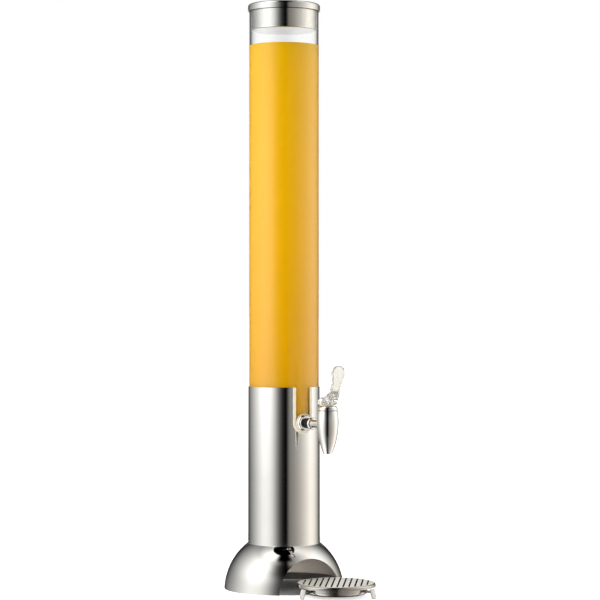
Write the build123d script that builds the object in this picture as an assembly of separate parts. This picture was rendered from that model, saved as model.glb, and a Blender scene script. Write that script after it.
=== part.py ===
from build123d import *
from math import cos, pi, radians, sin, sqrt, tan
import os

# Sizes are in millimetres. The floor is z = 0, the column stands on the Z axis and the tap points to -Y.

# Clearances
SLIDE_GAP = 0.3  # between pieces that lift or slide apart
BOND_GAP = 0.05  # seam between pieces that are welded, glued or screwed together
RUNNING_GAP = 0.05  # radial play of a shaft that turns or slides

# Dome foot
DOME_RADIUS = 85.5
DOME_CENTRE_DROP = 3.5  # the sphere's centre lies this far below the floor
DOME_SHEET = 1.5
DOME_LEDGE = 0.8  # flat ring between the dome's top edge and the column
COLLAR_LENGTH = 8.0  # turned-down neck in which the column is welded
ARCH_WIDTH = 101.0  # at the floor
ARCH_HEAD = 8.1  # metal left between the arch's crown and the collar

# Column and its slot
COLUMN_RISE = 224.1  # rim above the dome's ledge
COLUMN_WALL = 1.0
SLOT_WIDTH = 27.0
SLOT_DEPTH = 49.9  # from the rim down to the tap's shank
TRIM_OVERLAP = 2.2  # trim lip outside the slot's edge
TRIM_INSET = 1.9  # trim tongue inside the slot's edge
TRIM_LIP = 1.0

# Shelf in the column
SHELF_SHEET = 1.5
SHELF_FLANGE = 12.0
SHELF_HOLE_RADIUS = 30.0
SHELF_BEND = 2.0
PAD_THICKNESS = 2.0
PAD_WIDTH = 10.0

# Juice container
TUBE_DIAMETER = 100.0
TUBE_WALL = 3.0
TUBE_LENGTH = 619.5
BASE_THICKNESS = 8.0
SHANK_ABOVE_BASE = 18.5  # shank axis above the container's floor
HEADSPACE = 21.5  # air between the juice and the lid's plug

# Lid
LID_SHEET = 1.2
LID_RIM = 10.3  # height of the rolled rim
LID_RIM_PLAY = 0.6  # radial play of the rim on the tube
LID_EDGE = 3.6  # rounding of the rim's top edge
LID_PLUG_PLAY = 0.9  # radial play of the plug in the tube
LID_PLUG_DEPTH = 36.3
LID_PLUG_EDGE = 2.0
LID_SEAL_THICKNESS = 2.0

# Tap shank, from the container's wall outwards
SHANK_RADIUS = 6.5
SHANK_HOLE_PLAY = 0.5
SHANK_BORE_RADIUS = 4.0
SHANK_TAIL = 2.5  # thread that shows behind the inner nut
INNER_GASKET_RADIUS = 11.0
INNER_GASKET_SEAT = 4.0  # from the tube's bore to the gasket's flat face
NUT_ACROSS_FLATS = 20.0
NUT_THICKNESS = 6.5
GASKET_FLANGE_RADIUS = 13.0
GASKET_FLANGE = 2.7
WASHER_RADIUS = 11.9
WASHER_THICKNESS = 3.0
LOCKNUT_RADIUS = 10.4
LOCKNUT_THICKNESS = 1.8
LOCKNUT_NOTCH = 2.4
LOCKNUT_EDGE = 0.6
SLEEVE_RADIUS = 7.2
SLEEVE_LENGTH = 12.1  # rubber sleeve between the locknut and the bead
BEAD_RADIUS = 8.6
BEAD_LENGTH = 6.0
NECK_RADIUS = 6.0
NECK_FLARE = 2.4
NECK_LENGTH = 36.6  # from the bead to the tap's own axis

# Tap body, heights counted from the shank's axis
BODY_RADIUS = 15.1
BODY_WIDEST_RISE = 4.5
BODY_DROP = 40.0
BODY_RISE = 20.1
BODY_SEAM_RADIUS = 13.8
SEAM_GROOVE = 0.45  # bevel on both sides of the seam
SPOUT_RADIUS = 6.0
SPOUT_BORE_RADIUS = 4.4
CHAMBER_RADIUS = 9.0
SEAT_DROP = 24.5
SEAT_HEIGHT = 5.4

# Bonnet and valve
BONNET_HEIGHT = 7.1
BONNET_BAND = 1.6  # upright band above the seam
BONNET_TOP_RADIUS = 9.8
SPIGOT_LENGTH = 7.5
SEAL_CORD = 1.9  # cord diameter of the O-rings
STEM_RADIUS = 3.0
STEM_FLANGE_RADIUS = 7.4
STEM_FLANGE = 1.6
STEM_TANG_RADIUS = 2.2
PLUG_RADIUS = 6.6
PLUG_RIM = 6.0
SPRING_WIRE = 1.2
SPRING_RADIUS = 6.4  # at the middle of the wire
SPRING_HALF_TURNS = 11

# Lever, its outline counted from the pin: outwards, upwards
PIN_RADIUS = 1.5
PIN_RISE = 5.1  # above the bonnet
TONGUE_WIDTH = 6.0
TONGUE_RADIUS = 4.0
CAM_OFFSET = 7.0  # stem lift per radian of tilt
CAM_RISE = 1.44
CAM_TURN = 66.0  # degrees of the cam's arc, more than the tilt needs
KNEE_OUT = 21.0
KNEE_UP = 16.5
TIP_OUT = 30.0
TIP_UP = 50.6
BLADE_THICKNESS = 5.0
SADDLE_OUT = -3.0
SADDLE_UP = 6.4
HEEL_OUT = -13.2
HEEL_SOLE_OUT = -10.4
LEVER_WIDTH = 17.0
WAIST_WIDTH = 15.6
WAIST_UP = 14.0
PADDLE_WIDTH = 19.8
PADDLE_UP = 36.5
LEVER_EDGE = 1.2  # rounding of the lever's moulded edges
LEVER_TILT = 35.0  # degrees from closed to fully open

# Drip tray
TRAY_DIAMETER = 110.0
TRAY_TOP = 20.0  # top of the grille above the floor
TRAY_SIDE_SHIFT = 12.0  # the tray stands this far to one side of the tap
TRAY_ARCH_GAP = 4.5  # least distance from the tray's rim to the arch
GRILLE_SHEET = 1.2
GRILLE_EDGE = 3.2
GRILLE_RIM = 5.2
SLIT_WIDTH = 2.4
SLIT_PITCH = 8.0
SLIT_COUNT = 12
SLIT_MARGIN = 5.0  # plain border of the grille
SLIT_TURN = 36.5  # degrees from +Y towards +X
DISH_SHEET = 1.0
DISH_RADIUS = 43.5
DISH_FLOOR_GAP = 4.4
DISH_CORNER = 4.5
DISH_RIM_PLAY = 0.7
STUD_RADIUS = 1.8
STUD_RISE = 9.8  # height at which the studs leave the dish's wall
FOOT_RADIUS = 3.5
FOOT_SOLE = 0.3  # depth of the flat under each rounded foot
FOOT_REACH = 57.2  # radius at which the feet meet the floor
FOOT_SPLAY = 13.0  # degrees from upright
FOOT_COUNT = 3
FOOT_TURN = 62.0  # degrees, first foot

# Heights and radii that follow from the sizes above
TUBE_RADIUS = TUBE_DIAMETER / 2
BORE_RADIUS = TUBE_RADIUS - TUBE_WALL
COLUMN_BORE_RADIUS = TUBE_RADIUS + SLIDE_GAP
COLUMN_RADIUS = COLUMN_BORE_RADIUS + COLUMN_WALL
TRIM_RADIUS = COLUMN_RADIUS + BOND_GAP + TRIM_LIP
LEDGE_RADIUS = COLUMN_RADIUS + DOME_LEDGE
LEDGE_Z = sqrt(DOME_RADIUS**2 - LEDGE_RADIUS**2) - DOME_CENTRE_DROP
COLLAR_BOTTOM_Z = LEDGE_Z - COLLAR_LENGTH
COLUMN_TOP_Z = LEDGE_Z + COLUMN_RISE
SHANK_Z = COLUMN_TOP_Z - SLOT_DEPTH
FLOOR_Z = SHANK_Z - SHANK_ABOVE_BASE
TUBE_BOTTOM_Z = FLOOR_Z - BASE_THICKNESS
TUBE_TOP_Z = TUBE_BOTTOM_Z + TUBE_LENGTH
SHELF_TOP_Z = TUBE_BOTTOM_Z - SLIDE_GAP - PAD_THICKNESS - BOND_GAP
LID_UNDERSIDE_Z = TUBE_TOP_Z + SLIDE_GAP + LID_SEAL_THICKNESS + BOND_GAP
LID_TOP_Z = LID_UNDERSIDE_Z + LID_SHEET
RIM_BORE_RADIUS = TUBE_RADIUS + LID_RIM_PLAY
LID_RADIUS = RIM_BORE_RADIUS + LID_SHEET
LID_PLUG_RADIUS = BORE_RADIUS - LID_PLUG_PLAY
LID_PLUG_Z = LID_UNDERSIDE_Z - LID_PLUG_DEPTH
JUICE_DEPTH = LID_PLUG_Z - HEADSPACE - FLOOR_Z

# Distances of the shank's pieces from the column's axis
INNER_FACE = BORE_RADIUS - INNER_GASKET_SEAT
NUT_BACK = INNER_FACE - BOND_GAP - NUT_THICKNESS
SHANK_END = NUT_BACK - SHANK_TAIL
GASKET_BACK = TRIM_RADIUS + SLIDE_GAP
WASHER_BACK = GASKET_BACK + GASKET_FLANGE + BOND_GAP
LOCKNUT_BACK = WASHER_BACK + WASHER_THICKNESS + BOND_GAP
SLEEVE_BACK = LOCKNUT_BACK + LOCKNUT_THICKNESS + BOND_GAP
BEAD_BACK = SLEEVE_BACK + SLEEVE_LENGTH + BOND_GAP
BEAD_FRONT = BEAD_BACK + BEAD_LENGTH
TAP_REACH = BEAD_FRONT + NECK_LENGTH
NUT_CORNER_RADIUS = NUT_ACROSS_FLATS / 2 / cos(pi / 6)

# Heights in the tap
WIDEST_Z = SHANK_Z + BODY_WIDEST_RISE
SPOUT_Z = SHANK_Z - BODY_DROP
SEAM_Z = SHANK_Z + BODY_RISE
SEAT_Z = SHANK_Z - SEAT_DROP
BONNET_Z = SEAM_Z + BOND_GAP
BONNET_TOP_Z = BONNET_Z + BONNET_HEIGHT
SPIGOT_Z = BONNET_Z - SPIGOT_LENGTH
STEM_BORE_RADIUS = STEM_RADIUS + RUNNING_GAP
PLUG_TOP_Z = SEAT_Z + SEAT_HEIGHT + PLUG_RIM
STEM_FLANGE_Z = PLUG_TOP_Z + BOND_GAP
SPRING_BOTTOM_Z = STEM_FLANGE_Z + STEM_FLANGE + BOND_GAP + SPRING_WIRE / 2
SPRING_TOP_Z = SPIGOT_Z - BOND_GAP - SPRING_WIRE / 2
PIN_Z = BONNET_TOP_Z + PIN_RISE
LEVER_SOLE = PIN_RISE - SLIDE_GAP

# Heights and place of the tray
GRILLE_UNDERSIDE_Z = TRAY_TOP - GRILLE_SHEET
DISH_TOP_Z = GRILLE_UNDERSIDE_Z - SLIDE_GAP
TRAY_RADIUS = TRAY_DIAMETER / 2
FLANGE_RADIUS = TRAY_RADIUS - GRILLE_EDGE - DISH_RIM_PLAY
ARCH_CROWN_Z = COLLAR_BOTTOM_Z - ARCH_HEAD
ARCH_RADIUS = ((ARCH_WIDTH / 2) ** 2 + ARCH_CROWN_Z**2) / (2 * ARCH_CROWN_Z)
ARCH_HALF_AT_TRAY = sqrt(max(ARCH_RADIUS**2 - (TRAY_TOP - ARCH_CROWN_Z + ARCH_RADIUS) ** 2, 0))
ARCH_FACE = sqrt(DOME_RADIUS**2 - (TRAY_TOP + DOME_CENTRE_DROP) ** 2 - ARCH_HALF_AT_TRAY**2)
TRAY_FROM_FACE = sqrt((TRAY_RADIUS + TRAY_ARCH_GAP) ** 2 - (ARCH_HALF_AT_TRAY - TRAY_SIDE_SHIFT) ** 2)
TRAY_PLACE = Pos(TRAY_SIDE_SHIFT, -ARCH_FACE - TRAY_FROM_FACE, 0)
FOOT_BALL_Z = FOOT_RADIUS - FOOT_SOLE
LEG_SPLAY = radians(FOOT_SPLAY)
FOOT_SOCKET_Z = FOOT_BALL_Z + STUD_RADIUS  # lower end of each stud inside its foot
FOOT_TOP_Z = TRAY_TOP - GRILLE_RIM - SLIDE_GAP - FOOT_RADIUS * sin(LEG_SPLAY)

# Places where pieces are made about their own upright axis
AT_TAP = Pos(0, -TAP_REACH, 0)
ON_SHANK = Pos(0, 0, SHANK_Z) * Rot(90, 0, 0)  # own height becomes distance from the column's axis


def turned(*outline):
    """Solid turned about the upright axis from a closed outline of radius and height."""
    return revolve(Plane.XZ * make_face(outline), Axis.Z)


def turned_corners(*corners):
    """Solid turned about the upright axis from the corners of its half section."""
    return turned(Polyline(*corners, close=True))


def ring(inner, outer, low, high):
    """Plain ring between two radii and two heights."""
    return turned_corners((inner, low), (outer, low), (outer, high), (inner, high))


def disc(radius, low, high):
    """Plain upright cylinder between two heights."""
    return Pos(0, 0, low) * Cylinder(radius, high - low, align=(Align.CENTER, Align.CENTER, Align.MIN))


def sphere_radius_at(radius, z):
    """Radius of the dome's sphere of a given size, cut level at a height."""
    return sqrt(radius**2 - (z + DOME_CENTRE_DROP) ** 2)


def save(name, shape):
    """Writes one node of the assembly."""
    export_step(shape, os.path.join("parts", name + ".step"))


# Stand


def dome_foot():
    """Spun dome with a ledge, a turned-down collar and the arch cut through its front."""
    inner_radius = DOME_RADIUS - DOME_SHEET
    under_ledge = LEDGE_Z - DOME_SHEET
    collar_inner = COLUMN_RADIUS + BOND_GAP
    collar_outer = collar_inner + DOME_SHEET

    def on_sphere(radius, z):
        return (sphere_radius_at(radius, z), z)

    outer_foot = on_sphere(DOME_RADIUS, 0)
    outer_top = on_sphere(DOME_RADIUS, LEDGE_Z)
    inner_top = on_sphere(inner_radius, under_ledge)
    inner_foot = on_sphere(inner_radius, 0)
    shell = turned(
        ThreePointArc(outer_foot, on_sphere(DOME_RADIUS, LEDGE_Z / 2), outer_top),
        Polyline(
            outer_top,
            (collar_inner, LEDGE_Z),
            (collar_inner, COLLAR_BOTTOM_Z),
            (collar_outer, COLLAR_BOTTOM_Z),
            (collar_outer, under_ledge),
            inner_top,
        ),
        ThreePointArc(inner_top, on_sphere(inner_radius, under_ledge / 2), inner_foot),
        Line(inner_foot, outer_foot),
    )
    length = 2 * DOME_RADIUS
    arch = Pos(0, -length / 2, ARCH_CROWN_Z - ARCH_RADIUS) * Rot(90, 0, 0) * Cylinder(ARCH_RADIUS, length)
    return shell - arch


def slot_outline(half_width, top):
    """Face of the slot: a half circle about the shank with straight sides up to a height."""
    rise = top - SHANK_Z
    round_end = Circle(half_width)
    sides = Pos(0, rise / 2) * Rectangle(2 * half_width, rise)
    return Plane(origin=(0, 0, SHANK_Z), x_dir=(1, 0, 0), z_dir=(0, -1, 0)) * (round_end + sides)


def slot_cutter(half_width, top):
    """Prism of the slot, from the column's axis out through its front wall."""
    return extrude(slot_outline(half_width, top), 2 * COLUMN_RADIUS)


def column_tube():
    """Steel sleeve with the slot open at its rim."""
    sleeve = ring(COLUMN_BORE_RADIUS, COLUMN_RADIUS, COLLAR_BOTTOM_Z, COLUMN_TOP_Z)
    return sleeve - slot_cutter(SLOT_WIDTH / 2, COLUMN_TOP_Z + COLUMN_WALL)


def slot_trim():
    """Edge trim: a lip on the column's outside and a tongue that lines the slot."""
    low, high = SHANK_Z - SLOT_WIDTH, COLUMN_TOP_Z
    window = slot_cutter(SLOT_WIDTH / 2 - TRIM_INSET, high + COLUMN_WALL)
    lip_shell = ring(COLUMN_RADIUS + BOND_GAP, TRIM_RADIUS, low, high)
    tongue_shell = ring(COLUMN_BORE_RADIUS + BOND_GAP, COLUMN_RADIUS + BOND_GAP, low, high)
    lip = lip_shell & slot_cutter(SLOT_WIDTH / 2 + TRIM_OVERLAP, high)
    tongue = tongue_shell & slot_cutter(SLOT_WIDTH / 2 - BOND_GAP, high)
    return lip + tongue - window


def container_shelf():
    """Pressed ring with a turned-down flange, fixed in the column."""
    outer = COLUMN_BORE_RADIUS - BOND_GAP
    inner = outer - SHELF_SHEET
    low, under = SHELF_TOP_Z - SHELF_FLANGE, SHELF_TOP_Z - SHELF_SHEET
    bend_start = (outer - SHELF_BEND, SHELF_TOP_Z)
    bend_end = (outer, SHELF_TOP_Z - SHELF_BEND)
    return turned(
        TangentArc(bend_start, bend_end, tangent=(1, 0)),
        Polyline(
            bend_end,
            (outer, low),
            (inner, low),
            (inner, under),
            (SHELF_HOLE_RADIUS, under),
            (SHELF_HOLE_RADIUS, SHELF_TOP_Z),
            bend_start,
        ),
    )


def shelf_pad():
    """Flat silicone ring under the container's rim."""
    outer = COLUMN_BORE_RADIUS - BOND_GAP - SHELF_BEND
    low = SHELF_TOP_Z + BOND_GAP
    return ring(outer - PAD_WIDTH, outer, low, low + PAD_THICKNESS)


# Container


def juice_tube():
    """Clear tube with the hole for the tap's shank."""
    tube = ring(BORE_RADIUS, TUBE_RADIUS, TUBE_BOTTOM_Z, TUBE_TOP_Z)
    return tube - ON_SHANK * disc(SHANK_RADIUS + SHANK_HOLE_PLAY, 0, 2 * TUBE_RADIUS)


def tube_base():
    """Disc bonded into the bottom of the tube."""
    return disc(BORE_RADIUS - BOND_GAP, TUBE_BOTTOM_Z, FLOOR_Z)


def juice():
    """The filling, as a solid that leaves room for the nut and gasket inside the tube."""
    low = FLOOR_Z + SLIDE_GAP
    filling = disc(BORE_RADIUS - SLIDE_GAP, low, FLOOR_Z + JUICE_DEPTH)
    pocket_radius = max(NUT_CORNER_RADIUS, INNER_GASKET_RADIUS) + SLIDE_GAP
    return filling - ON_SHANK * disc(pocket_radius, SHANK_END - SLIDE_GAP, 2 * BORE_RADIUS)


# Tap


def outer_gasket():
    """Silicone grommet: a boss in the slot, saddled on the tube, and a flange outside the trim."""
    boss_radius = SLOT_WIDTH / 2 - TRIM_INSET - SLIDE_GAP
    boss = disc(boss_radius, TUBE_RADIUS / 2, GASKET_BACK)
    flange = disc(GASKET_FLANGE_RADIUS, GASKET_BACK, GASKET_BACK + GASKET_FLANGE)
    hole = disc(SHANK_RADIUS + BOND_GAP, 0, 2 * GASKET_BACK)
    saddle = disc(TUBE_RADIUS + BOND_GAP, SHANK_Z - TUBE_RADIUS, SHANK_Z + TUBE_RADIUS)
    return ON_SHANK * (boss + flange - hole) - saddle


def inner_gasket():
    """Silicone ring, rounded to the tube's bore on one side and flat on the other."""
    blank = disc(INNER_GASKET_RADIUS, INNER_FACE, 2 * BORE_RADIUS)
    hole = disc(SHANK_RADIUS + BOND_GAP, 0, 3 * BORE_RADIUS)
    bore = disc(BORE_RADIUS - BOND_GAP, SHANK_Z - BORE_RADIUS, SHANK_Z + BORE_RADIUS)
    return ON_SHANK * (blank - hole) & bore


def shank_nut():
    """Hexagon nut inside the tube, its corners turned off at both ends."""
    front = NUT_BACK + NUT_THICKNESS
    corner_fall = NUT_CORNER_RADIUS - NUT_ACROSS_FLATS / 2
    hexagon = extrude(RegularPolygon(NUT_CORNER_RADIUS, 6), NUT_THICKNESS)
    rounding = turned_corners(
        (SHANK_RADIUS + BOND_GAP, NUT_BACK),
        (NUT_ACROSS_FLATS / 2, NUT_BACK),
        (NUT_CORNER_RADIUS, NUT_BACK + corner_fall / 2),
        (NUT_CORNER_RADIUS, front - corner_fall / 2),
        (NUT_ACROSS_FLATS / 2, front),
        (SHANK_RADIUS + BOND_GAP, front),
    )
    return ON_SHANK * (Pos(0, 0, NUT_BACK) * hexagon & rounding)


def shank_washer():
    """Polished ring with a full round edge."""
    inner = SHANK_RADIUS + BOND_GAP
    front = WASHER_BACK + WASHER_THICKNESS
    edge = WASHER_RADIUS - WASHER_THICKNESS / 2
    return ON_SHANK * turned(
        Polyline((edge, front), (inner, front), (inner, WASHER_BACK), (edge, WASHER_BACK)),
        ThreePointArc(
            (edge, WASHER_BACK), (WASHER_RADIUS, WASHER_BACK + WASHER_THICKNESS / 2), (edge, front)
        ),
    )


def outer_locknut():
    """Round nut with four spanner notches."""
    inner = SHANK_RADIUS + BOND_GAP
    front = LOCKNUT_BACK + LOCKNUT_THICKNESS
    nut = turned_corners(
        (inner, LOCKNUT_BACK),
        (LOCKNUT_RADIUS, LOCKNUT_BACK),
        (LOCKNUT_RADIUS, front - LOCKNUT_EDGE),
        (LOCKNUT_RADIUS - LOCKNUT_EDGE, front),
        (inner, front),
    )
    notch = Pos(LOCKNUT_RADIUS, 0, front) * Box(LOCKNUT_NOTCH, LOCKNUT_NOTCH, LOCKNUT_THICKNESS)
    notches = [Rot(0, 0, 90 * quarter) * notch for quarter in range(4)]
    return ON_SHANK * (nut - notches)


def shank_sleeve():
    """Rubber sleeve that covers the shank between the locknut and the bead."""
    return ON_SHANK * ring(SHANK_RADIUS + BOND_GAP, SLEEVE_RADIUS, SLEEVE_BACK, SLEEVE_BACK + SLEEVE_LENGTH)


def tap_body():
    """Torpedo body with its spout, valve chamber and seat, and the neck, bead and shank in one casting."""
    widest = (BODY_RADIUS, WIDEST_Z)
    spout_edge = (SPOUT_RADIUS, SPOUT_Z)
    seam_edge = (BODY_SEAM_RADIUS, SEAM_Z - SEAM_GROOVE)
    torpedo = turned(
        TangentArc(widest, spout_edge, tangent=(0, -1)),
        Polyline(spout_edge, (0, SPOUT_Z), (0, SEAM_Z), (BODY_SEAM_RADIUS - SEAM_GROOVE, SEAM_Z), seam_edge),
        TangentArc(widest, seam_edge, tangent=(0, 1)),
    )
    neck_end = (NECK_RADIUS, TAP_REACH - BODY_RADIUS - NECK_FLARE)
    flare_end = (NECK_RADIUS + NECK_FLARE, TAP_REACH - BODY_RADIUS + NECK_FLARE)
    bead_start = (SHANK_RADIUS, BEAD_BACK)
    bead_end = (NECK_RADIUS, BEAD_FRONT)
    neck = turned(
        Polyline((0, SHANK_END), (SHANK_RADIUS, SHANK_END), bead_start),
        ThreePointArc(bead_start, (BEAD_RADIUS, (BEAD_BACK + BEAD_FRONT) / 2), bead_end),
        Line(bead_end, neck_end),
        TangentArc(neck_end, flare_end, tangent=(0, 1)),
        Polyline(flare_end, (NECK_RADIUS, TAP_REACH), (0, TAP_REACH), (0, SHANK_END)),
    )
    chamber = turned_corners(
        (0, SPOUT_Z - SPOUT_RADIUS),
        (SPOUT_BORE_RADIUS, SPOUT_Z - SPOUT_RADIUS),
        (SPOUT_BORE_RADIUS, SEAT_Z),
        (CHAMBER_RADIUS, SEAT_Z + SEAT_HEIGHT),
        (CHAMBER_RADIUS, SEAM_Z + SPOUT_RADIUS),
        (0, SEAM_Z + SPOUT_RADIUS),
    )
    inlet = ON_SHANK * disc(SHANK_BORE_RADIUS, 0, TAP_REACH)
    return AT_TAP * torpedo + ON_SHANK * neck - AT_TAP * chamber - inlet


def tap_bonnet():
    """Domed cap with a spigot in the chamber, the stem's bore and pockets for the two seals."""
    spigot_radius = CHAMBER_RADIUS - BOND_GAP
    pocket_radius = STEM_BORE_RADIUS + SEAL_CORD + BOND_GAP
    pocket_z = SPIGOT_Z + SEAL_CORD + BOND_GAP
    groove_radius = spigot_radius - SEAL_CORD
    groove_z = BONNET_Z - SEAL_CORD
    band_top = (BODY_SEAM_RADIUS, BONNET_Z + BONNET_BAND)
    crown_edge = (BONNET_TOP_RADIUS, BONNET_TOP_Z)
    return AT_TAP * turned(
        TangentArc(band_top, crown_edge, tangent=(0, 1)),
        Polyline(
            crown_edge,
            (STEM_BORE_RADIUS, BONNET_TOP_Z),
            (STEM_BORE_RADIUS, pocket_z),
            (pocket_radius, pocket_z),
            (pocket_radius, SPIGOT_Z),
            (spigot_radius, SPIGOT_Z),
            (spigot_radius, groove_z - SEAL_CORD),
            (groove_radius, groove_z - SEAL_CORD),
            (groove_radius, groove_z),
            (spigot_radius, groove_z),
            (spigot_radius, BONNET_Z),
            (BODY_SEAM_RADIUS - SEAM_GROOVE, BONNET_Z),
            (BODY_SEAM_RADIUS, BONNET_Z + SEAM_GROOVE),
            band_top,
        ),
    )


def seal_ring(inner_radius, low):
    """O-ring that lies on a height with a given inner radius."""
    middle = Pos(inner_radius + SEAL_CORD / 2, low + SEAL_CORD / 2)
    return AT_TAP * revolve(Plane.XZ * (middle * Circle(SEAL_CORD / 2 - BOND_GAP / 2)), Axis.Z)


def stem_seal():
    """O-ring round the stem, in the bonnet's lower pocket."""
    return seal_ring(STEM_BORE_RADIUS, SPIGOT_Z + BOND_GAP / 2)


def bonnet_seal():
    """O-ring in the groove of the bonnet's spigot."""
    return seal_ring(CHAMBER_RADIUS - BOND_GAP - SEAL_CORD, BONNET_Z - 2 * SEAL_CORD)


def valve_stem():
    """Stem with a tang for the plug, a flange for the spring and a flat tongue for the lever's pin."""
    shaft = turned_corners(
        (0, SEAT_Z + SEAT_HEIGHT),
        (STEM_TANG_RADIUS, SEAT_Z + SEAT_HEIGHT),
        (STEM_TANG_RADIUS, STEM_FLANGE_Z),
        (STEM_FLANGE_RADIUS, STEM_FLANGE_Z),
        (STEM_FLANGE_RADIUS, STEM_FLANGE_Z + STEM_FLANGE),
        (STEM_RADIUS, STEM_FLANGE_Z + STEM_FLANGE),
        (STEM_RADIUS, PIN_Z),
        (0, PIN_Z),
    )
    side = Plane.YZ.offset(-TONGUE_WIDTH / 2)
    eye = Pos(0, PIN_Z) * Circle(TONGUE_RADIUS)
    root_z = BONNET_TOP_Z + SLIDE_GAP
    web = Pos(0, (root_z + PIN_Z) / 2) * Rectangle(2 * TONGUE_RADIUS, PIN_Z - root_z)
    tongue = extrude(side * (eye + web), TONGUE_WIDTH) - disc(4 * TONGUE_RADIUS, 0, root_z)
    hole = Pos(0, 0, PIN_Z) * Rot(0, 90, 0) * Cylinder(PIN_RADIUS + BOND_GAP / 2, 2 * LEVER_WIDTH)
    return AT_TAP * (shaft + tongue - hole)


def valve_plug():
    """Silicone plug whose cone closes on the seat."""
    slope_length = sqrt(SEAT_HEIGHT**2 + (CHAMBER_RADIUS - SPOUT_BORE_RADIUS) ** 2)
    rise_per_radius = SEAT_HEIGHT / (CHAMBER_RADIUS - SPOUT_BORE_RADIUS)
    lift = SLIDE_GAP * slope_length / (CHAMBER_RADIUS - SPOUT_BORE_RADIUS)

    def on_seat(radius):
        return (radius, SEAT_Z + lift + (radius - SPOUT_BORE_RADIUS) * rise_per_radius)

    hole = STEM_TANG_RADIUS + BOND_GAP
    nose = on_seat(SPOUT_BORE_RADIUS - SLIDE_GAP)
    pocket_z = SEAT_Z + SEAT_HEIGHT - BOND_GAP
    return AT_TAP * turned_corners(
        (0, nose[1]),
        nose,
        on_seat(PLUG_RADIUS),
        (PLUG_RADIUS, PLUG_TOP_Z),
        (hole, PLUG_TOP_Z),
        (hole, pocket_z),
        (0, pocket_z),
    )


def valve_spring():
    """Wire spring wound as half turns, each a tilted arc that leads smoothly into the next."""
    half_pitch = (SPRING_TOP_Z - SPRING_BOTTOM_Z) / SPRING_HALF_TURNS

    def on_coil(half_turns):
        angle = pi * half_turns
        z = SPRING_BOTTOM_Z + half_pitch * half_turns
        return (SPRING_RADIUS * cos(angle), SPRING_RADIUS * sin(angle), z)

    arcs = [
        ThreePointArc(on_coil(half), on_coil(half + 0.5), on_coil(half + 1))
        for half in range(SPRING_HALF_TURNS)
    ]
    path = Wire([arc.edge() for arc in arcs])
    section = Plane(origin=path @ 0, z_dir=path % 0) * Circle(SPRING_WIRE / 2)
    print("spring: least gap between turns", round(2 * half_pitch - SPRING_WIRE, 2), "mm")
    return AT_TAP * sweep(section, path)


def lever_pin():
    """Plain pin through the lever's ears and the stem's tongue."""
    return AT_TAP * Pos(0, 0, PIN_Z) * Rot(0, 90, 0) * Cylinder(PIN_RADIUS, LEVER_WIDTH - 2 * SLIDE_GAP)


def lever_side():
    """Side outline of the lever: cam foot, heel, knee and a blade that runs on past the paddle's top."""
    turn = radians(CAM_TURN)
    cam_radius = LEVER_SOLE + CAM_RISE
    cam_start = (CAM_OFFSET, -LEVER_SOLE)
    toe = (CAM_OFFSET + cam_radius * sin(turn), CAM_RISE - cam_radius * cos(turn))
    knee = Vector(KNEE_OUT, KNEE_UP)
    tip = Vector(TIP_OUT, TIP_UP)
    cam = TangentArc(cam_start, toe, tangent=(1, 0))
    shin = TangentArc(toe, knee, tangent=cam % 1)
    front = TangentArc(knee, tip, tangent=shin % 1)

    def behind(point, tangent):
        return point + Vector(-tangent.Y, tangent.X) * BLADE_THICKNESS

    back_tip = behind(tip, front % 1)
    back_knee = behind(knee, front % 0)
    run_on = (front % 1) * BLADE_THICKNESS
    top = Polyline(tip, tip + run_on, back_tip + run_on, back_tip)
    back = TangentArc(back_tip, back_knee, tangent=top % 1)
    saddle = TangentArc(back_knee, (SADDLE_OUT, SADDLE_UP), tangent=back % 1)
    instep = TangentArc((SADDLE_OUT, SADDLE_UP), (HEEL_OUT, 0), tangent=saddle % 1)
    heel = TangentArc((HEEL_OUT, 0), (HEEL_SOLE_OUT, -LEVER_SOLE), tangent=instep % 1)
    sole = Line((HEEL_SOLE_OUT, -LEVER_SOLE), cam_start)
    return make_face([cam, shin, front, top, back, saddle, instep, heel, sole])


def lever_front():
    """Front outline of the lever: rounded paddle, waist and foot in tangent arcs, mirrored."""
    top = (0, TIP_UP)
    paddle = (PADDLE_WIDTH / 2, PADDLE_UP)
    waist = (WAIST_WIDTH / 2, WAIST_UP)
    foot = (LEVER_WIDTH / 2, CAM_RISE)
    crown = TangentArc(top, paddle, tangent=(1, 0))
    side = TangentArc(paddle, waist, tangent=crown % 1)
    calf = TangentArc(waist, foot, tangent=side % 1)
    ankle = Line(calf @ 1, calf @ 1 + (calf % 1) * 2 * LEVER_SOLE)
    base = Polyline(ankle @ 1, (0, (ankle @ 1).Y), top)
    half = make_face([crown, side, calf, ankle, base])
    return half + mirror(half, Plane.YZ)


def tap_lever():
    """Clear lever: side and front outlines in one, with a cleft for the stem's tongue and a pin hole."""
    pin = (0, 0, PIN_Z)
    side_plane = Plane(origin=pin, x_dir=(0, -1, 0), z_dir=(-1, 0, 0))
    front_plane = Plane(origin=pin, x_dir=(1, 0, 0), z_dir=(0, -1, 0))
    blank = extrude(side_plane * lever_side(), PADDLE_WIDTH, both=True)
    blank = blank & extrude(front_plane * lever_front(), 2 * TIP_OUT, both=True)
    blank = fillet(blank.edges(), LEVER_EDGE)
    cleft_width = TONGUE_WIDTH + 2 * SLIDE_GAP
    eye_radius = TONGUE_RADIUS + SLIDE_GAP
    tilt = radians(LEVER_TILT)
    stem_reach = LEVER_SOLE * tan(tilt) + STEM_RADIUS / cos(tilt) + SLIDE_GAP
    eye = Rot(0, 90, 0) * Cylinder(eye_radius, cleft_width)
    gate = Box(cleft_width, eye_radius + stem_reach, 2 * LEVER_SOLE, align=(Align.CENTER, Align.MAX, Align.MAX))
    cleft = eye + Pos(0, eye_radius, eye_radius * sin(tilt)) * gate
    hole = Rot(0, 90, 0) * Cylinder(PIN_RADIUS + RUNNING_GAP, 2 * LEVER_WIDTH)
    return AT_TAP * (blank - Pos(*pin) * (cleft + hole))


# Lid


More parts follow.
